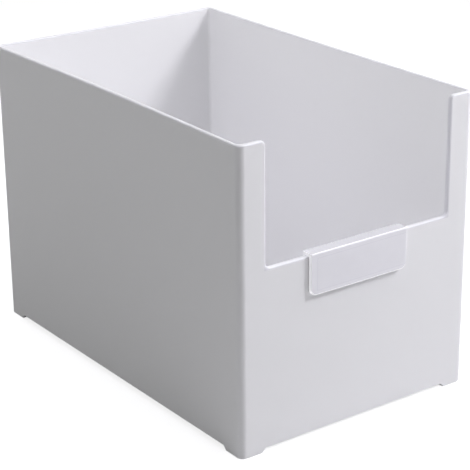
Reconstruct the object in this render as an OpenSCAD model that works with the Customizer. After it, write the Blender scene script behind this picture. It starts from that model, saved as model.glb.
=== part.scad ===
/* [Box] */
// Width of the box outside, left to right
body_w = 170; // [120:1:240]
// Depth of the box outside, front to back
body_d = 264.5; // [160:0.5:360]
// Height from the table to the rim
body_h = 187; // [140:1:260]
// Thickness of the side and rear walls
side_wall = 2.2; // [2:0.1:3]
// Thickness of the front wall
front_wall = 3.2; // [2.2:0.1:4]
// Thickness of the floor
floor_wall = 2.4; // [2:0.1:4]
// Outside radius of the four upright corners
corner_r = 4.2; // [4.2:0.1:10]
// Rounding along the rim, the opening and the lower edges
edge_r = 1; // [0.5:0.05:1]

/* [Front opening] */
// Width between the two front posts
opening_w = 134.4; // [80:0.1:140]
// Height of the sill above the table
sill_h = 113.2; // [60:0.1:120]
// Radius of the opening's two lower corners
opening_r = 3.5; // [2:0.1:12]
// Radius of each post's inner top corner
post_r = 3; // [2.5:0.1:5]

/* [Feet] */
// Height of the feet, which is also the floor's clearance
foot_h = 2.5; // [1.5:0.1:5]
// Length of a foot along each wall, at its root
foot_l = 17.5; // [10:0.5:30]
// Width of the band that stands on the rim of a box below
foot_band = 5; // [4.2:0.1:8]

/* [Label holder] */
// Width of the holder
holder_w = 70.6; // [40:0.1:72]
// Height of its front plate
holder_h = 25.4; // [20:0.1:36]
// Where its middle lies along the sill, from the box's middle
holder_x = -2.1; // [-8:0.1:8]
// How far the front plate stands out from the wall
holder_out = 2.8; // [2.2:0.1:4]
// Thickness of the bridge over the sill
bridge_t = 1.8; // [1.2:0.1:3]
// Thickness of the leg behind the wall
leg_t = 1.6; // [1.2:0.1:3]
// Length of the leg below the sill
leg_l = 12; // [8:0.5:20]
// Radius of the plate's and the leg's lower corners
holder_r = 4; // [2:0.1:6]
// Rounding of the holder's edges
holder_edge = 0.8; // [0.4:0.05:0.8]

/* [Label card] */
// Thickness of the card
card_t = 0.4; // [0.2:0.1:0.5]
// Depth of the recess that holds it
recess_t = 0.7; // [0.5:0.1:0.9]
// Border of the recess at its closed left end
border_side = 4.5; // [2:0.1:8]
// Border under the recess
border_low = 3; // [2:0.1:5]

/* [Hidden] */
$fn = 96;

clip_gap = 0.3;                 // play of the clip on each face of the wall
card_gap = 0.4;                 // play of the card above it and at its two ends
border_high = 1.6;              // border between the recess and the bridge
corners = [corner_r, corner_r, corner_r, corner_r];
inner_r = corner_r - side_wall; // upright corners inside
front_y = (holder_out - body_d) / 2;
rear_y = front_y + body_d;
mid_y = (front_y + rear_y) / 2;
floor_z = foot_h + floor_wall;

cavity_w = body_w - 2 * side_wall;
cavity_d = body_d - side_wall - front_wall;
cavity_y = (front_y + front_wall + rear_y - side_wall) / 2;
post_x = opening_w / 2 + post_r; // middle of the curve at a post's inner top corner

holder_top = sill_h + bridge_t;
plate_t = holder_out - clip_gap;
leg_y = front_wall + clip_gap;   // front of the leg, from the wall's face
recess_h = holder_h - bridge_t - border_low - border_high;
recess_z = holder_top - holder_h + border_low;
card_w = holder_w - border_side - 2 * card_gap;
card_h = recess_h - card_gap;

// Section of a block's side, from its outer face at x = 0 inwards: depth k, height h,
// lower edge rounded by e, upper edge by f
module side_section(k, h, e, f) {
    translate([-k, 0]) square([k - max(e, f), h]);
    translate([-k, e]) square([k, h - e - f]);
    if (e > 0) translate([-e, e]) circle(e);
    if (f > 0) translate([-f, h - f]) circle(f);
}

// Carries the section in children() round a rectangle w x d whose four corners have
// the given radii, counted from +x +y
module swept(w, d, radii) {
    for (i = [0 : 3]) rotate(90 * i) {
        x = (i % 2 == 0 ? w : d) / 2;
        y = (i % 2 == 0 ? d : w) / 2;
        r = radii[i];
        translate([x - r, y - r, 0]) rotate_extrude(angle = 90) intersection() {
            translate([r, 0]) children();
            translate([0, -2 * body_h]) square(4 * body_h);
        }
        translate([x, y - r, 0]) rotate([90, 0, 0])
            linear_extrude(2 * y - r - radii[(i + 3) % 4]) children();
    }
}

// Block whose upright corners have the given radii, its lower edges rounded by e and its
// upper ones by f
module soft_block(w, d, h, radii, e, f) {
    r = max(radii);
    swept(w, d, radii) side_section(r + max(e, f), h, e, f);
    translate([0, 0, h / 2]) cube([w - 2 * r, d - 2 * r, h], center = true);
}

// Inside of the box, with round lower edges and a mouth that rounds the rim
module cavity() {
    radii = [inner_r, inner_r, inner_r, inner_r];
    translate([0, cavity_y, floor_z])
        soft_block(cavity_w, cavity_d, body_h, radii, inner_r / 2, 0);
    translate([0, cavity_y, body_h - edge_r]) swept(cavity_w, cavity_d, radii)
        difference() {
            translate([-inner_r / 2, 0]) square([inner_r / 2 + edge_r, edge_r + 1]);
            translate([edge_r, 0]) circle(edge_r);
        }
}

// Front view of the opening, with the curves at the two posts' tops
module opening_outline() {
    half = opening_w / 2;
    r = opening_r;
    translate([-half, sill_h + r]) square([2 * half, body_h - sill_h]);
    translate([r - half, sill_h]) square([2 * (half - r), body_h - sill_h]);
    for (s = [-1, 1]) translate([s * (half - r), sill_h + r]) circle(r);
    difference() {
        translate([-post_x, body_h - post_r]) square([2 * post_x, 2 * post_r]);
        for (s = [-1, 1]) translate([s * post_x, body_h - post_r]) circle(post_r);
    }
}

// What rounds both edges of the front wall where it ends at x = 0, the wall lying towards +x
// and its thickness along y
module edge_cut() {
    difference() {
        translate([-edge_r / 2, -1]) square([1.5 * edge_r, front_wall + 2]);
        translate([edge_r, edge_r]) circle(edge_r);
        translate([edge_r, front_wall - edge_r]) circle(edge_r);
        translate([0, edge_r]) square([2 * edge_r, front_wall - 2 * edge_r]);
    }
}

// The edge cut carried down the posts, round the lower corners and along the sill
module opening_edges() {
    half = opening_w / 2;
    r = opening_r;
    translate([half - r, 0, sill_h]) rotate([0, -90, 0]) rotate(180) mirror([0, 1, 0])
        linear_extrude(2 * (half - r)) edge_cut();
    for (s = [0, 1]) mirror([s, 0, 0]) {
        translate([half, 0, sill_h + r]) linear_extrude(body_h - post_r - sill_h - r) edge_cut();
        translate([half - r, 0, sill_h + r]) rotate([-90, 0, 0])
            rotate_extrude(angle = 90) translate([r, 0]) edge_cut();
        translate([post_x, 0, body_h - post_r]) rotate([-90, 0, 0]) rotate(180)
            rotate_extrude(angle = 90) translate([post_r, 0]) mirror([1, 0]) edge_cut();
    }
}

// Everything taken out of the front wall for the opening, edges included
module opening() {
    translate([0, front_y, 0]) {
        translate([0, front_wall + 1, 0]) rotate([90, 0, 0])
            linear_extrude(front_wall + 2) opening_outline();
        opening_edges();
    }
}

// Side view of the gap below a wall of length l, between the slopes of its two feet
module foot_gap(l) {
    root = l / 2 - foot_l;
    polygon([[-root, foot_h], [root, foot_h], [root + foot_h, 0], [root + foot_h, -1],
             [-root - foot_h, -1], [-root - foot_h, 0]]);
}

// Corner feet, flush with the walls and open inside their L
module feet() {
    difference() {
        translate([0, mid_y, 0]) soft_block(body_w, body_d, foot_h + corner_r, corners, edge_r, 0);
        translate([0, mid_y, 0])
            cube([body_w - 2 * foot_band, body_d - 2 * foot_band, 2 * foot_h], center = true);
        translate([0, mid_y + body_d, 0]) rotate([90, 0, 0]) linear_extrude(2 * body_d) foot_gap(body_w);
        translate([-body_w, mid_y, 0]) rotate([90, 0, 90]) linear_extrude(2 * body_w) foot_gap(body_d);
        translate([0, mid_y, foot_h]) linear_extrude(corner_r + 1) {
            square([body_w - 2 * foot_l, 2 * body_d], center = true);
            square([2 * body_w, body_d - 2 * foot_l], center = true);
        }
    }
}

module box() {
    color([0.86, 0.85, 0.88]) difference() {
        union() {
            translate([0, mid_y, foot_h])
                soft_block(body_w, body_d, body_h - foot_h, corners, edge_r, edge_r);
            feet();
        }
        cavity();
        opening();
    }
}

// Front cover of the holder: its back face at y = 0, its top edge at z = 0
module plate() {
    e = holder_edge;
    rotate([90, 0, 0]) translate([0, -holder_h / 2, 0])
        soft_block(holder_w, holder_h, plate_t, [e, e, holder_r, holder_r], 0, e);
}

// Bridge over the sill and leg behind the wall, which clip the plate on
module clip() {
    back = leg_y + leg_t;
    translate([-holder_w / 2, 0, 0]) rotate([90, 0, 90]) linear_extrude(holder_w) {
        translate([-clip_gap, -bridge_t]) square([back + clip_gap - holder_edge, bridge_t]);
        translate([leg_y, -bridge_t]) square([leg_t, bridge_t - holder_edge]);
        translate([back - holder_edge, -holder_edge]) circle(holder_edge, $fn = 32);
    }
    translate([0, back, 0]) rotate([90, 0, 0]) linear_extrude(leg_t) {
        translate([-holder_w / 2, holder_r - bridge_t - leg_l])
            square([holder_w, leg_l - holder_r + bridge_t / 2]);
        translate([holder_r - holder_w / 2, -bridge_t - leg_l])
            square([holder_w - 2 * holder_r, leg_l]);
        for (s = [-1, 1])
            translate([s * (holder_w / 2 - holder_r), holder_r - bridge_t - leg_l]) circle(holder_r);
    }
}

module label_holder() {
    color([0.9, 0.9, 0.93, 0.6]) translate([holder_x, front_y, holder_top]) difference() {
        union() {
            translate([0, -clip_gap, 0]) plate();
            clip();
        }
        translate([border_side - holder_w / 2, -clip_gap - recess_t, recess_z - holder_top])
            cube([holder_w, recess_t + clip_gap / 2, recess_h]);
    }
}

module label_card() {
    color([0.97, 0.97, 0.96])
        translate([holder_x + border_side + card_gap - holder_w / 2,
                   front_y - clip_gap - recess_t, recess_z])
            cube([card_w, card_t, card_h]);
}

box();
label_holder();
label_card();
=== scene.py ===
from math import asin, cos, degrees, pi, radians, sin

import bmesh
import bpy
from mathutils import Matrix, Vector


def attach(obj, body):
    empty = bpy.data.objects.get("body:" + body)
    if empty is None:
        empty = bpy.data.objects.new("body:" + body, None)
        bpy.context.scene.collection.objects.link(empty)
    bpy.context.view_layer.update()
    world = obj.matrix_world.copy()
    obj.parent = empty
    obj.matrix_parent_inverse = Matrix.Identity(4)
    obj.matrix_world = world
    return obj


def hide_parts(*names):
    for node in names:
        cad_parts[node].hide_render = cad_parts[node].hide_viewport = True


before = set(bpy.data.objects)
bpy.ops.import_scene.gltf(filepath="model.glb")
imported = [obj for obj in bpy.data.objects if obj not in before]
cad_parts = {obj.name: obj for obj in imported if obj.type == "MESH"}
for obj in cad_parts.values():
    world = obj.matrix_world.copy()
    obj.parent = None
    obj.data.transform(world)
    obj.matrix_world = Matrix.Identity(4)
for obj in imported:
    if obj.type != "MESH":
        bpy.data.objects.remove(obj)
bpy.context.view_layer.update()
print("frame loaded")

mm = 0.001
white = (1.0, 1.0, 1.0, 1.0)
black = (0.0, 0.0, 0.0, 1.0)
plasticIor = 1.49


class Wire:  # a socket that can be used in Python expressions
    def __init__(self, paint, socket):
        self.paint, self.socket = paint, socket

    def maths(self, operation, *values, clamp=False):
        settings = {"operation": operation, "use_clamp": clamp}
        return self.paint.node("ShaderNodeMath", settings, dict(enumerate(values)))

    def __add__(self, other): return self.maths("ADD", self, other)
    def __radd__(self, other): return self.maths("ADD", other, self)
    def __sub__(self, other): return self.maths("SUBTRACT", self, other)
    def __rsub__(self, other): return self.maths("SUBTRACT", other, self)
    def __mul__(self, other): return self.maths("MULTIPLY", self, other)
    def __rmul__(self, other): return self.maths("MULTIPLY", other, self)
    def __truediv__(self, other): return self.maths("DIVIDE", self, other)
    def __rtruediv__(self, other): return self.maths("DIVIDE", other, self)
    def __gt__(self, other): return self.maths("GREATER_THAN", self, other)
    def __lt__(self, other): return self.maths("LESS_THAN", self, other)

    def clamped(self): return self.maths("ADD", self, 0.0, clamp=True)


class Paint:  # a material's or the world's node tree
    def __init__(self, owner):
        owner.use_nodes = True
        self.tree = owner.node_tree
        self.tree.nodes.clear()

    def node(self, kind, settings=None, sockets=None, out=0):  # out: one output or a tuple of them
        made = self.tree.nodes.new(kind)
        for name, value in (settings or {}).items():
            setattr(made, name, value)
        for name, value in (sockets or {}).items():
            if isinstance(value, Wire):
                self.tree.links.new(value.socket, made.inputs[name])
            else:
                made.inputs[name].default_value = value
        if isinstance(out, tuple):
            return [Wire(self, made.outputs[name]) for name in out]
        return Wire(self, made.outputs[out])

    def mixed(self, share, first, second):  # colours
        sockets = {"Factor": share, "A": first, "B": second}
        return self.node("ShaderNodeMix", {"data_type": "RGBA"}, sockets, out=2)

    def noise(self, place, scale, detail, roughness=0.5):
        return self.node("ShaderNodeTexNoise", {}, {
            "Vector": place, "Scale": scale, "Detail": detail, "Roughness": roughness})

    def bump(self, depth, height):
        return self.node("ShaderNodeBump", {}, {
            "Strength": 1.0, "Distance": depth, "Height": height})

    def place(self):  # object coordinates, in metres
        return self.node("ShaderNodeTexCoord", out="Object")

    def facing(self):  # the surface's direction, in object coordinates
        return self.node("ShaderNodeTexCoord", out="Normal")

    def axes(self, vector):
        return self.node("ShaderNodeSeparateXYZ", {}, {0: vector}, out=(0, 1, 2))

    def within(self, vector, low, high):  # 1 between two corners, 0 outside
        inside = 1.0
        for along, start, end in zip(self.axes(vector), low, high):
            inside = (along > start) * (along < end) * inside
        return inside

    def finish(self, shader, kind="ShaderNodeOutputMaterial"):
        self.node(kind, {}, {"Surface": shader}, out=())


def shade(red, green, blue, alpha=1.0):  # screen values, 0 to 255, as linear light
    def linear(v):
        v /= 255
        return v / 12.92 if v <= 0.04045 else ((v + 0.055) / 1.055) ** 2.4
    return (linear(red), linear(green), linear(blue), alpha)


shellFinish = {
    "colour": (248, 247.5, 250),
    "colourDrift": (246.5, 246, 249),  # the other end of a slow, faint drift
    "roughness": 0.36,
    "roughnessDrift": 0.07,
    "grainSize": 0.45 * mm,
    "grainDepth": 0.004 * mm,
    "grainRoughness": 0.6,
    "waveSize": 55 * mm,
    "smudgesPerWave": 3,
    "softness": 0.8 * mm,  # how deep light gets into the wall from outside
    "softnessInside": 3.0 * mm,  # and from inside, at the rim and in the opening's edges
    "insideLow": (-82.95 * mm, -127.9 * mm, 3.7 * mm),
    "insideHigh": (83.3 * mm, 132.05 * mm, 185.9 * mm),
    "openingLow": (-68.3 * mm, -131.5 * mm, 112.1 * mm),
    "openingHigh": (68.3 * mm, -127.6 * mm, 188 * mm),
    "rimHeight": 185.9 * mm,
    "rimPaintedShade": (232, 231.5, 235.5),  # painted shade: the rim and the opening's edges are coloured darker, because thin edges come out too bright in this light
}


def satinPlastic(name, finish):
    material = bpy.data.materials.new(name)
    paint = Paint(material)
    place = paint.place()
    rough = finish["grainRoughness"]
    drift = paint.noise(place, 1 / finish["waveSize"], 2.0)
    grain = paint.noise(place, 1 / finish["grainSize"], 2.0, rough)
    smudge = paint.noise(place, finish["smudgesPerWave"] / finish["waveSize"], 4.0, rough)
    inside = paint.within(place, finish["insideLow"], finish["insideHigh"])
    opening = paint.within(place, finish["openingLow"], finish["openingHigh"])
    aboveWalls = paint.axes(place)[2] > finish["rimHeight"]
    rim = 1 - (1 - opening) * (1 - aboveWalls)
    colour = paint.mixed(drift, shade(*finish["colour"]), shade(*finish["colourDrift"]))
    # painted shade: the rim and the opening's edges take the darker colour
    colour = paint.mixed(rim, colour, shade(*finish["rimPaintedShade"]))
    bump = paint.bump(finish["grainDepth"], grain)
    gloss = finish["roughness"] + (smudge - 0.5) * (2 * finish["roughnessDrift"])

    def plastic(softness):
        return paint.node("ShaderNodeBsdfPrincipled", {}, {
            "Base Color": colour, "Roughness": gloss, "IOR": plasticIor, "Normal": bump,
            "Subsurface Weight": 1.0, "Subsurface Radius": (1.0, 1.0, 1.0),
            "Subsurface Scale": softness})

    soft = 1 - (1 - inside) * (1 - rim)
    paint.finish(paint.node("ShaderNodeMixShader", {}, {
        0: soft, 1: plastic(finish["softness"]), 2: plastic(finish["softnessInside"])}))
    return material


frostFinish = {
    "colour": (248, 247.5, 251),
    "borderShadeColour": (242, 241, 246),  # painted shade: a faint darker line where the recess's border shows through the front
    "roughness": 0.2,
    "grainSize": 0.3 * mm,
    "grainDepth": 0.002 * mm,
    "grainRoughness": 0.6,
    "cloudSize": 9 * mm,
    "cloudRoughness": 0.08,  # how much the clouds change the gloss
    "cloudDensity": 0.04,
    "frontDensity": 0.94,  # 1 hides what lies behind
    "bridgeDensity": 0.56,
    "underDensity": 0.3,
    "lowEdgePaintedGlow": 0.5,  # painted glow: the edges give off light, standing in for light led through the plate to them
    "leftEndPaintedGlow": 0.26,
    "rightEndPaintedGlow": 0.06,
    "recessLow": (-32.9 * mm, -1.0, 92.6 * mm),  # open to the front, the rear and the right
    "recessHigh": (1.0, 1.0, 111.6 * mm),
    "lineWidth": 0.4 * mm,
    "uprightLimit": 0.96,  # squared share of y in the direction of a flat upright face
    "levelLimit": 0.97,  # share of z in the direction of a level face
    "lowLimit": -0.15,  # from here on an edge faces down
    "endLimit": 0.5,  # share of x in the direction of an end
}


def frostedPlastic(name, finish):
    material = bpy.data.materials.new(name)
    paint = Paint(material)
    place = paint.place()
    alongX, alongY, alongZ = paint.axes(paint.facing())
    grain = paint.noise(place, 1 / finish["grainSize"], 2.0, finish["grainRoughness"])
    cloud = paint.noise(place, 1 / finish["cloudSize"], 3.0)
    level, end = finish["levelLimit"], finish["endLimit"]

    # thinner to the eye in front, over the sill and below
    flat = alongY * alongY > finish["uprightLimit"]
    top, under = alongZ > level, alongZ < -level
    density = 1 - flat * (1 - finish["frontDensity"]) - top * (1 - finish["bridgeDensity"])
    density -= under * (1 - finish["underDensity"])

    # painted shade: a darker line along the recess's border, as it shows through the front
    width, recessLow, recessHigh = finish["lineWidth"], finish["recessLow"], finish["recessHigh"]
    recess = paint.within(place, recessLow, recessHigh)
    grown = paint.within(place, [v - width for v in recessLow], [v + width for v in recessHigh])
    borderShade = (grown - recess) * flat
    colour = paint.mixed(borderShade, shade(*finish["colour"]), shade(*finish["borderShadeColour"]))

    # painted glow: the edges give off light where the light inside the plate would come out
    low = (alongZ < finish["lowLimit"]) * (alongZ > -level)
    left, right = alongX < -end, alongX > end
    ends = left * finish["leftEndPaintedGlow"] + right * finish["rightEndPaintedGlow"]
    paintedGlow = low * finish["lowEdgePaintedGlow"] + (1 - low) * ends

    paint.finish(paint.node("ShaderNodeBsdfPrincipled", {}, {
        "Base Color": colour,
        "Roughness": finish["roughness"] + (cloud - 0.5) * finish["cloudRoughness"],
        "IOR": plasticIor,
        "Alpha": density + (cloud - 0.5) * finish["cloudDensity"],
        # painted glow on the lower edges and the ends
        "Emission Color": paint.mixed(paintedGlow, black, white),
        "Emission Strength": 1.0,
        "Normal": paint.bump(finish["grainDepth"], grain),
    }))
    return material


cardFinish = {
    "colour": (236, 236, 240),
    "fibre": (228, 227, 231),
    "roughness": 0.8,
    "fibreSize": 0.25 * mm,
    "fibreDepth": 0.01 * mm,
    "fibreStretch": (0.4, 1.0, 1.0),  # fibres lie along the card
}


def blankCard(name, finish):
    material = bpy.data.materials.new(name)
    paint = Paint(material)
    place = paint.place()
    stretched = paint.node("ShaderNodeVectorMath", {"operation": "MULTIPLY"}, {
        0: place, 1: finish["fibreStretch"]})
    fibres = paint.noise(stretched, 1 / finish["fibreSize"], 4.0, 0.65)
    paint.finish(paint.node("ShaderNodeBsdfPrincipled", {}, {
        "Base Color": paint.mixed(fibres, shade(*finish["colour"]), shade(*finish["fibre"])),
        "Roughness": finish["roughness"],
        "Normal": paint.bump(finish["fibreDepth"], fibres)}))
    return material


shellPlastic = satinPlastic("satin shell plastic", shellFinish)
holderPlastic = frostedPlastic("frosted holder plastic", frostFinish)
cardPaper = blankCard("card paper", cardFinish)
print("finishes made")


box = {  # millimetres
    "width": 170.0, "front": -130.85, "rear": 133.65, "height": 187.0,
    "cornerRadius": 4.2, "sideWall": 2.2, "frontWall": 3.2,
    "edgeRadius": 1.0, "floorTop": 4.9, "floorFillet": 1.0,
    "footHeight": 2.5, "footLength": 17.5, "footBand": 5.0,
    "openingWidth": 134.4, "sill": 113.2, "openingRadius": 3.5, "postRadius": 3.0,
    "bowLeft": 1.9, "bowRight": 1.2, "bowRear": 1.0,  # how far the rim has pulled in
    "bowFrom": 20.0, "bowPower": 1.6,  # height where that starts, and how fast it grows
    "bowSide": 0.9, "bowRearFrom": 12.0, "bowRearBlend": 9.0,  # where the side and rear walls begin
    "postLines": (-78.0, -75.5, -73.0, -70.0, -69.2, -68.4, -67.5),  # mesh lines at the post's foot
    "lowRows": (104.0, 92.0, 78.0, 64.0, 50.0, 36.0, 24.0, 14.0, 7.0),  # mesh rows below the sill
}
arcSteps = 8  # round the opening's curves
edgeSteps = 6  # round a rounded edge
postTopSteps, postSteps, sillSteps = 4, 12, 16
depthSteps, rearSteps, cornerSteps = 30, 18, 8
mergeDistance = 0.002  # millimetres
onWall = 0.01


def spread(start, end, count):  # count steps from start to end, both included
    return [start + (end - start) * i / count for i in range(count + 1)]


def held(value, low=0.0, high=1.0):
    return min(max(value, low), high)


class Sheets:  # grids of points that share their borders
    def __init__(self):
        self.mesh = bmesh.new()

    def grid(self, rows, closed=False):
        made = [[self.mesh.verts.new(p) for p in row] for row in rows]
        for lower, upper in zip(made, made[1:]):
            count = len(lower)
            for i in range(count if closed else count - 1):
                j = (i + 1) % count
                self.mesh.faces.new((lower[i], lower[j], upper[j], upper[i]))

    def plate(self, loop):
        self.mesh.faces.new([self.mesh.verts.new(p) for p in loop])

    def piece(self, name, material, bend, sharpAngle=32):
        bmesh.ops.remove_doubles(self.mesh, verts=self.mesh.verts, dist=mergeDistance)
        slivers = [f for f in self.mesh.faces if f.calc_area() < 1e-6]
        bmesh.ops.delete(self.mesh, geom=slivers, context="FACES_ONLY")
        bmesh.ops.recalc_face_normals(self.mesh, faces=self.mesh.faces)
        for edge in self.mesh.edges:
            edge.smooth = not edge.is_manifold or edge.calc_face_angle() < radians(sharpAngle)
        for vert in self.mesh.verts:
            vert.co = bend(vert.co) * mm
        for face in self.mesh.faces:
            face.smooth = True
        data = bpy.data.meshes.new(name)
        self.mesh.to_mesh(data)
        openEdges = sum(not e.is_manifold for e in self.mesh.edges)
        print(name, len(self.mesh.faces), "faces,", openEdges, "open edges, volume",
              round(self.mesh.calc_volume() * 1e9, 1), "mm3")
        self.mesh.free()
        data.materials.append(material)
        piece = bpy.data.objects.new(name, data)
        bpy.context.scene.collection.objects.link(piece)
        weighted = piece.modifiers.new("flat faces lead", "WEIGHTED_NORMAL")
        weighted.weight, weighted.keep_sharp = 100, True
        return piece


def buildBox(size):
    half = size["width"] / 2
    front, rear, top = size["front"], size["rear"], size["height"]
    outerR, edge = size["cornerRadius"], size["edgeRadius"]
    innerR = outerR - size["sideWall"]
    openHalf, sill = size["openingWidth"] / 2, size["sill"]
    openR, postR = size["openingRadius"], size["postRadius"]
    flat = half - outerR  # end of the front wall's flat, from the middle

    # the opening's boundary on the left half: (point on the edge, direction into the wall)
    postCentre = (-openHalf - postR, top - postR)
    sillCentre = (openR - openHalf, sill + openR)
    postTop = [((x, top), (0, -1)) for x in spread(-flat, postCentre[0], postTopSteps)][:-1]
    postSide = [((-openHalf, z), (-1, 0))
                for z in spread(top - postR, sill + openR, postSteps)[1:-1]]
    sillFlat = [((x, sill), (0, -1))
                for x in spread(sillCentre[0], -sillCentre[0], sillSteps)[1:-1]]

    def quarter(centre, radius, start, turn, inward):
        points = []
        for a in (radians(start + turn * j / arcSteps) for j in range(arcSteps + 1)):
            points.append(((centre[0] + radius * cos(a), centre[1] + radius * sin(a)),
                           (inward * cos(a), inward * sin(a))))
        return points

    postCurve = quarter(postCentre, postR, 90, -90, -1)
    sillCurve = quarter(sillCentre, openR, 180, 90, 1)
    leftEdge = postTop + postCurve + postSide + sillCurve
    mirrored = [((-x, z), (-mx, mz)) for (x, z), (mx, mz) in reversed(leftEdge)]
    edgeLine = leftEdge + sillFlat + mirrored  # from the left corner to the right one
    onFace = [(x + edge * mx, z + edge * mz) for (x, z), (mx, mz) in edgeLine]

    # left post: upright lines on its face, with rows between them
    halfArc = arcSteps // 2
    lineCount = postTopSteps + halfArc + 1
    faceTop = onFace[:lineCount]
    sideEnd = len(leftEdge) - 1 - halfArc  # the middle of the lower curve
    rowEnds = onFace[lineCount - 1:sideEnd + 1]
    bottomLines = [-flat, *size["postLines"], rowEnds[-1][0]]
    sideLow = rowEnds[-1][1]
    lowRows = list(size["lowRows"])
    footTop = size["footHeight"] + edge
    middleCurve = onFace[sideEnd + 1:len(leftEdge)]

    def footAt(along, length):  # height of the underside at a place along a wall
        root = length / 2 - size["footLength"]
        return held(root + size["footHeight"] - abs(along), 0.0, size["footHeight"])

    def postRow(endX, z):  # x of the post's lines at a height
        lean = held((z - footTop) / (sideLow - footTop))
        bendX = faceTop[postTopSteps][0]  # where the curve at the post's top starts
        xs = []
        for i in range(lineCount):
            high = faceTop[i][0]
            if i > postTopSteps:
                share = (high - bendX) / (faceTop[-1][0] - bendX)
                high = bendX + share * (endX - bendX)
            xs.append(bottomLines[i] + (high - bottomLines[i]) * lean)
        xs[-1] = endX
        return xs

    def frontFace(y, bottomHeight):  # one face of the front wall; gives its lowest row
        upper = [[(x, y, z) for x, z in faceTop]]
        for endX, z in rowEnds[1:]:
            upper.append([(x, y, z) for x in postRow(endX, z)])
        curve = [(x, y, z) for x, z in middleCurve]
        flatTop = [(x + edge * mx, y, z + edge * mz) for (x, z), (mx, mz) in sillFlat]
        first = upper[-1] + curve + flatTop
        first += [(-x, y, z) for x, y, z in reversed(upper[-1] + curve)]
        sheets.grid(upper)
        sheets.grid([[(-x, y, z) for x, y, z in row] for row in upper])

        def wholeRow(left):
            left = left + [p[0] for p in curve]
            return left + [p[0] for p in flatTop] + [-x for x in reversed(left)]

        low = [first]
        for z in lowRows:
            low.append([(x, y, z) for x in wholeRow(postRow(rowEnds[-1][0], z))])
        low.append([(x, y, bottomHeight(x)) for x in wholeRow(bottomLines)])
        sheets.grid(low)
        return low[-1]

    sheets = Sheets()
    outerBottom = frontFace(front, lambda x: footAt(x, size["width"]) + edge)
    innerLow = size["floorTop"] + size["floorFillet"]
    innerBottom = frontFace(front + size["frontWall"], lambda x: innerLow)

    # the rest of the way round, from the right front corner to the left one
    innerHalf = half - size["sideWall"]
    innerFrontY, innerRearY = front + size["frontWall"] + innerR, rear - size["sideWall"] - innerR
    walk = []  # (outer point, inner point, outward direction)

    def corner(cx, outerY, innerY, startAngle):
        for a in (radians(startAngle + 90 * j / cornerSteps) for j in range(cornerSteps + 1)):
            n = (cos(a), sin(a))
            walk.append(((cx + outerR * n[0], outerY + outerR * n[1]),
                         (cx + innerR * n[0], innerY + innerR * n[1]), n))

    def sideStops():  # shares of the depth along a side wall, with stops at the feet's slopes
        depth = rear - front
        root = size["footLength"] / depth
        slope = (size["footLength"] - size["footHeight"]) / depth
        stops = [slope * 0.6, slope, root] + spread(root, 1 - root, depthSteps)[1:-1]
        return stops + [1 - root, 1 - slope, 1 - slope * 0.6]

    def sideWall(x, innerX, stops):
        outerLow, outerHigh = front + outerR, rear - outerR
        for stop in stops:
            y = front + stop * (rear - front)
            share = (y - outerLow) / (outerHigh - outerLow)
            walk.append(((x, y), (innerX, innerFrontY + share * (innerRearY - innerFrontY)),
                         (1.0 if x > 0 else -1.0, 0.0)))

    corner(flat, front + outerR, innerFrontY, -90)
    sideWall(half, innerHalf, sideStops())
    corner(flat, rear - outerR, innerRearY, 0)
    root, foot = half - size["footLength"], size["footHeight"]
    rearEnd = [root + 3 * foot, root + foot, root]
    for x in rearEnd + spread(root, -root, rearSteps)[1:-1] + [-x for x in reversed(rearEnd)]:
        walk.append(((x, rear), (x, rear - size["sideWall"]), (0.0, 1.0)))
    corner(-flat, rear - outerR, innerRearY, 90)
    sideWall(-half, -innerHalf, reversed(sideStops()))
    corner(-flat, front + outerR, innerFrontY, 180)

    def footNear(p):  # height of the underside at a point on the outline
        mid = (front + rear) / 2
        if abs(p[1] - front) < onWall or abs(p[1] - rear) < onWall:
            return footAt(p[0], size["width"])
        return footAt(p[1] - mid, rear - front) if abs(abs(p[0]) - half) < onWall else 0.0

    rows = [top - edge] + [z for x, z in rowEnds[1:]] + lowRows
    outerRows = [[(o[0], o[1], z) for o, i, n in walk] for z in rows]
    outerRows.append([(o[0], o[1], footNear(o) + edge) for o, i, n in walk])
    innerRows = [[(i[0], i[1], z) for o, i, n in walk] for z in rows + [innerLow]]
    sheets.grid(outerRows)
    sheets.grid(innerRows)

    # the rim and the opening's edge, one strip all the way round
    angles = [pi / 2 * k / edgeSteps for k in range(edgeSteps + 1)]
    stations = []  # (outer point on the edge, inner point, into the wall, outward)
    for (x, z), (mx, mz) in edgeLine:
        stations.append(((x, front, z), (x, front + size["frontWall"], z),
                         (mx, 0, mz), (0, -1, 0)))
    for o, i, n in walk[1:-1]:
        stations.append(((o[0], o[1], top), (i[0], i[1], top), (0, 0, -1), (n[0], n[1], 0)))
    strip = []
    for o, i, m, n in stations:
        o, i, m, n = Vector(o), Vector(i), Vector(m), Vector(n)
        outer = [o + m * edge * (1 - sin(a)) - n * edge * (1 - cos(a)) for a in angles]
        inner = [i + m * edge * (1 - sin(a)) + n * edge * (1 - cos(a)) for a in angles]
        strip.append(outer + inner[::-1])
    sheets.grid([list(row) for row in zip(*strip)], closed=True)

    # underside: lower edge, feet and the inset floor
    base = []  # (outer point, outward, height of the underside)
    for x, y, z in outerBottom:
        base.append(((x, y), (0.0, -1.0), z - edge))
    for o, i, n in walk[1:-1]:
        base.append((o, n, footNear(o)))
    lower = []
    band = size["footBand"]
    for o, n, z in base:
        curve = [(o[0] - n[0] * edge * (1 - cos(a)), o[1] - n[1] * edge * (1 - cos(a)),
                  z + edge * (1 - sin(a))) for a in angles]
        inX = held(o[0] - n[0] * band, band - half, half - band)
        inY = held(o[1] - n[1] * band, front + band, rear - band)
        lower.append(curve + [(inX, inY, z), (inX, inY, size["footHeight"])])
    sheets.grid([list(row) for row in zip(*lower)], closed=True)
    sheets.plate(dedupe([column[-1] for column in lower]))

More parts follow.
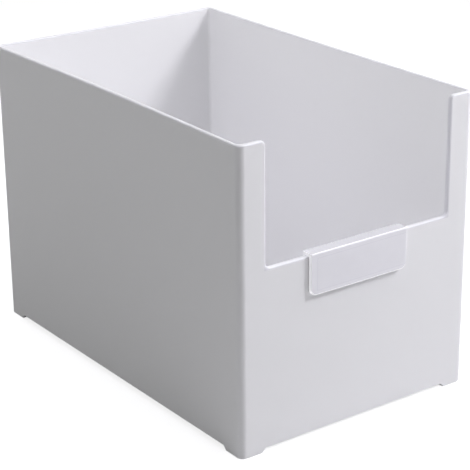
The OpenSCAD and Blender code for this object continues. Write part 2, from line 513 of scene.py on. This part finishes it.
    # inside floor with its fillet
    well = []
    fillet = size["floorFillet"]
    inside = [((x, y), (0.0, -1.0)) for x, y, z in innerBottom]
    for i, n in inside + [(i, n) for o, i, n in walk[1:-1]]:
        well.append([(i[0] - n[0] * fillet * (1 - cos(a)), i[1] - n[1] * fillet * (1 - cos(a)),
                      size["floorTop"] + fillet * (1 - sin(a))) for a in angles])
    sheets.grid([list(row) for row in zip(*well)], closed=True)
    sheets.plate(dedupe([column[-1] for column in well]))

    def bow(p):  # thin long walls pull in towards the middle of the rim
        up = held((p.z - size["bowFrom"]) / (top - size["bowFrom"])) ** size["bowPower"]
        along = max(cos(pi * (p.y - (front + rear) / 2) / (rear - front - 2 * outerR)), 0.0)
        across = max(cos(pi * p.x / (2 * flat)), 0.0)
        side = innerHalf * size["bowSide"]
        nearSide = held((abs(p.x) - side) / (innerHalf - side))
        nearRear = held((p.y - (rear - size["bowRearFrom"])) / size["bowRearBlend"])
        pullX = (size["bowRight"] if p.x > 0 else -size["bowLeft"]) * up * along * nearSide
        pullY = size["bowRear"] * up * across * nearRear
        return Vector((p.x - pullX, p.y - pullY, p.z))

    return sheets.piece("boxShell", shellPlastic, bow)


def dedupe(loop):  # a loop without repeated points
    kept = []
    for p in loop:
        if not kept or (Vector(p) - Vector(kept[-1])).length > mergeDistance:
            kept.append(p)
    if (Vector(kept[0]) - Vector(kept[-1])).length < mergeDistance:
        kept.pop()
    return kept


boxShell = buildBox(box)
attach(boxShell, "box")
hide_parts("box")
print("box made")


holder = {  # millimetres
    "left": -37.4, "right": 33.2, "top": 115.0, "low": 89.6,
    "front": -133.65, "back": -131.15, "sill": 113.2,
    "legFront": -127.35, "legBack": -125.75, "legLow": 101.2, "cornerRadius": 4.0,
    "pocketLeft": -32.9, "pocketLow": 92.6, "pocketHigh": 111.6, "pocketDepth": 0.7,
    "topRound": 1.4, "frontRound": 0.9, "otherRound": 0.4,  # the edges' rounding
    "edgeAngle": 40,  # degrees; flatter edges stay as they are
}
tiny = 1e-6


def buildHolder(size):
    left, right, top, low = size["left"], size["right"], size["top"], size["low"]
    front, back, sill, r = size["front"], size["back"], size["sill"], size["cornerRadius"]
    legFront, legBack, legLow = size["legFront"], size["legBack"], size["legLow"]
    pocketY, pocketLeft = back - size["pocketDepth"], size["pocketLeft"]
    pocketLow, pocketHigh = size["pocketLow"], size["pocketHigh"]
    mesh = bmesh.new()
    known = {}

    def at(x, y, z):
        key = (round(x, 4), round(y, 4), round(z, 4))
        if key not in known:
            known[key] = mesh.verts.new(key)
        return known[key]

    def face(points):
        mesh.faces.new([at(*p) for p in points])

    def arc(centreX, bottom, turns):
        return [(centreX + r * cos(radians(a)), bottom + r + r * sin(radians(a))) for a in turns]

    def outlineOf(bottom, cuts=()):  # down the left end, along the bottom and up the right end
        turns = sorted(spread(270, 360, arcSteps) + list(cuts))
        return arc(left + r, bottom, spread(180, 270, arcSteps)) + arc(right - r, bottom, turns)

    cutAngle = 360 - degrees(asin((low + r - pocketLow) / r))  # the pocket's open end starts here
    plate = outlineOf(low, [cutAngle])
    leg = outlineOf(legLow)
    pocketEnd = [p for p in plate if p[0] > right - r / 4 and p[1] >= pocketLow - tiny]
    belowCut = [p for p in plate if p not in pocketEnd[1:]]

    # the cover, with the pocket behind it
    face([(left, front, top)] + [(x, front, z) for x, z in plate] + [(right, front, top)])
    face([(left, back, sill)] + [(x, back, z) for x, z in belowCut]
         + [(pocketLeft, back, pocketLow), (pocketLeft, back, pocketHigh),
            (right, back, pocketHigh), (right, back, sill)])
    face([(x, pocketY, z) for x, z in pocketEnd]
         + [(right, pocketY, pocketHigh),
            (pocketLeft, pocketY, pocketHigh), (pocketLeft, pocketY, pocketLow)])
    face([(pocketLeft, back, pocketLow), (pocketEnd[0][0], back, pocketLow),
          (pocketEnd[0][0], pocketY, pocketLow), (pocketLeft, pocketY, pocketLow)])
    face([(pocketLeft, back, pocketLow), (pocketLeft, back, pocketHigh),
          (pocketLeft, pocketY, pocketHigh), (pocketLeft, pocketY, pocketLow)])
    face([(pocketLeft, back, pocketHigh), (right, back, pocketHigh),
          (right, pocketY, pocketHigh), (pocketLeft, pocketY, pocketHigh)])
    for (x0, z0), (x1, z1) in zip(plate, plate[1:]):
        inPocket = x0 > 0 and min(z0, z1) > pocketLow - tiny
        deep = pocketY if inPocket else back
        step = [(x1, pocketY, z1)] if (x1, z1) == pocketEnd[0] else []
        face([(x0, front, z0), (x1, front, z1)] + step + [(x1, deep, z1), (x0, deep, z0)])

    # the leg, the bridge and the two ends
    face([(left, legFront, sill)] + [(x, legFront, z) for x, z in leg] + [(right, legFront, sill)])
    face([(left, legBack, top)] + [(x, legBack, z) for x, z in leg] + [(right, legBack, top)])
    for (x0, z0), (x1, z1) in zip(leg, leg[1:]):
        face([(x0, legFront, z0), (x1, legFront, z1), (x1, legBack, z1), (x0, legBack, z0)])
    face([(left, back, sill), (right, back, sill), (right, legFront, sill), (left, legFront, sill)])
    face([(left, front, top), (right, front, top), (right, legBack, top), (left, legBack, top)])
    overSill = [(legFront, sill), (legFront, legLow + r), (legBack, legLow + r), (legBack, top)]
    leftEnd = [(front, top), (front, low + r), (back, low + r), (back, sill)] + overSill
    rightEnd = [(front, top), (front, low + r), (pocketY, low + r), (pocketY, pocketHigh),
                (back, pocketHigh), (back, sill)] + overSill
    face([(left, y, z) for y, z in leftEnd])
    face([(right, y, z) for y, z in rightEnd])

    bmesh.ops.recalc_face_normals(mesh, faces=mesh.faces)
    rounding = mesh.edges.layers.float.new("bevel_weight_edge")
    widest = size["topRound"]
    for edge in mesh.edges:
        onFront = all(abs(v.co.y - front) < onWall for v in edge.verts)
        onTop = all(abs(v.co.z - top) < onWall for v in edge.verts)
        if edge.calc_face_angle(0.0) > radians(size["edgeAngle"]):
            kind = "otherRound" if not onFront else "topRound" if onTop else "frontRound"
            edge[rounding] = size[kind] / widest
    for vert in mesh.verts:
        vert.co *= mm
    for shown in mesh.faces:
        shown.smooth = True
    data = bpy.data.meshes.new("labelHolder")
    mesh.to_mesh(data)
    openEdges = sum(not e.is_manifold for e in mesh.edges)
    print("labelHolder", len(mesh.faces), "faces,", openEdges, "open edges")
    mesh.free()
    data.materials.append(holderPlastic)
    piece = bpy.data.objects.new("labelHolder", data)
    bpy.context.scene.collection.objects.link(piece)
    bevel = piece.modifiers.new("rounded edges", "BEVEL")
    bevel.limit_method, bevel.width, bevel.segments = "WEIGHT", widest * mm, edgeSteps
    bevel.miter_outer = "MITER_SHARP"
    weighted = piece.modifiers.new("flat faces lead", "WEIGHTED_NORMAL")
    weighted.weight, weighted.keep_sharp = 100, False
    return piece


labelHolder = buildHolder(holder)
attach(labelHolder, "holder")
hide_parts("label_holder")

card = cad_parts["label_card"]
card.data.materials.clear()
card.data.materials.append(cardPaper)
print("holder and card made")


studio = {
    "ambient": (0.01, 0.01, 0.01),  # light from the room itself
    "backdrop": 1.0,
    "floorShade": (218, 218, 219),
    "floorGlow": 0.75,  # lifts the floor for the camera alone
    "glowNear": 0.4, "glowFar": 1.0,  # metres over which the floor turns as white as the backdrop
    "floorRadius": 6.0,
    "aim": (0.0, 0.0, 0.09),  # where every lamp points
    "lamps": {  # towards the lamp, distance and width in metres, watts, tint
        "key": ((1.0, -1.0, 1.27), 1.6, 0.5, 14.6, (0.985, 0.975, 1.03)),
        "side": ((1.0, -0.1, 0.5), 1.6, 1.2, 10.6, (0.99, 0.985, 1.025)),
        "front": ((0.2, -1.0, 0.45), 1.6, 1.2, 2.6, (0.99, 0.985, 1.025)),
        "top": ((0.0, -0.1, 0.71), 0.72, 0.6, 1.25, (0.99, 0.985, 1.025)),
        "back": ((0.1, 1.0, 0.8), 1.6, 1.2, 3.7, (1.0, 1.0, 1.0)),
        "left": ((-1.0, -0.2, 0.5), 1.6, 1.2, 2.2, (1.0, 1.0, 1.0)),
        "low": ((-0.8, 0.9, 0.3), 1.6, 1.4, 4.6, (1.0, 1.0, 1.0)),
    },
}


def seenDirectly(paint):  # rays from the camera, and all that see the background
    camera, glossy, through = paint.node("ShaderNodeLightPath", out=(
        "Is Camera Ray", "Is Glossy Ray", "Is Transmission Ray"))
    return camera, (camera + glossy + through).clamped()


def makeStudio(setup):
    world = bpy.data.worlds.new("studio")
    bpy.context.scene.world = world
    paint = Paint(world)
    camera, seen = seenDirectly(paint)
    room = paint.node("ShaderNodeBackground", {}, {
        "Color": (*setup["ambient"], 1.0), "Strength": 1.0})
    backdrop = paint.node("ShaderNodeBackground", {}, {
        "Color": white, "Strength": setup["backdrop"]})
    both = paint.node("ShaderNodeMixShader", {}, {0: seen, 1: room, 2: backdrop})
    paint.finish(both, "ShaderNodeOutputWorld")

    floorPaint = bpy.data.materials.new("studio_floor")
    paint = Paint(floorPaint)
    camera, seen = seenDirectly(paint)
    matte = paint.node("ShaderNodeBsdfDiffuse", {}, {"Color": shade(*setup["floorShade"])})
    glow = paint.node("ShaderNodeEmission", {}, {
        "Color": white, "Strength": camera * setup["floorGlow"]})
    nearby = paint.node("ShaderNodeAddShader", {}, {0: matte, 1: glow})
    farOff = paint.node("ShaderNodeEmission", {}, {"Color": white, "Strength": setup["backdrop"]})
    alongX, alongY, alongZ = paint.axes(paint.place())
    start, end = setup["glowNear"] ** 2, setup["glowFar"] ** 2
    away = ((alongX * alongX + alongY * alongY - start) / (end - start)).clamped()
    paint.finish(paint.node("ShaderNodeMixShader", {}, {0: camera * away, 1: nearby, 2: farOff}))

    builder = bmesh.new()
    bmesh.ops.create_circle(builder, cap_ends=True, segments=96, radius=setup["floorRadius"])
    data = bpy.data.meshes.new("floor")
    builder.to_mesh(data)
    builder.free()
    data.materials.append(floorPaint)
    floor = bpy.data.objects.new("floor", data)
    bpy.context.scene.collection.objects.link(floor)

    for name, (direction, distance, width, watts, tint) in setup["lamps"].items():
        towards = Vector(direction).normalized()
        data = bpy.data.lights.new(name, "AREA")
        data.shape, data.size, data.energy, data.color = "DISK", width, watts, tint
        lamp = bpy.data.objects.new(name, data)
        lamp.location = Vector(setup["aim"]) + towards * distance
        lamp.rotation_euler = towards.to_track_quat("Z", "Y").to_euler()
        bpy.context.scene.collection.objects.link(lamp)


view = {
    "place": (-0.576709, -0.801744, 0.461004),
    "turn": -36.078, "down": 21.263, "roll": -0.578,  # degrees
    "lens": 127.70, "sensor": 36.0,  # millimetres
    "nearest": 0.01, "farthest": 30,
}


def placeCamera(setup):
    data = bpy.data.cameras.new("camera")
    data.lens, data.sensor_width = setup["lens"], setup["sensor"]
    data.clip_start, data.clip_end = setup["nearest"], setup["farthest"]
    camera = bpy.data.objects.new("camera", data)
    turn = Matrix.Rotation(radians(setup["turn"]), 4, "Z")
    down = Matrix.Rotation(radians(90 - setup["down"]), 4, "X")
    roll = Matrix.Rotation(radians(setup["roll"]), 4, "Z")
    camera.matrix_world = Matrix.Translation(setup["place"]) @ turn @ down @ roll
    bpy.context.scene.collection.objects.link(camera)
    bpy.context.scene.camera = camera


makeStudio(studio)
placeCamera(view)
bpy.context.scene.view_settings.view_transform = "Standard"
print("studio set")

bpy.context.view_layer.update()
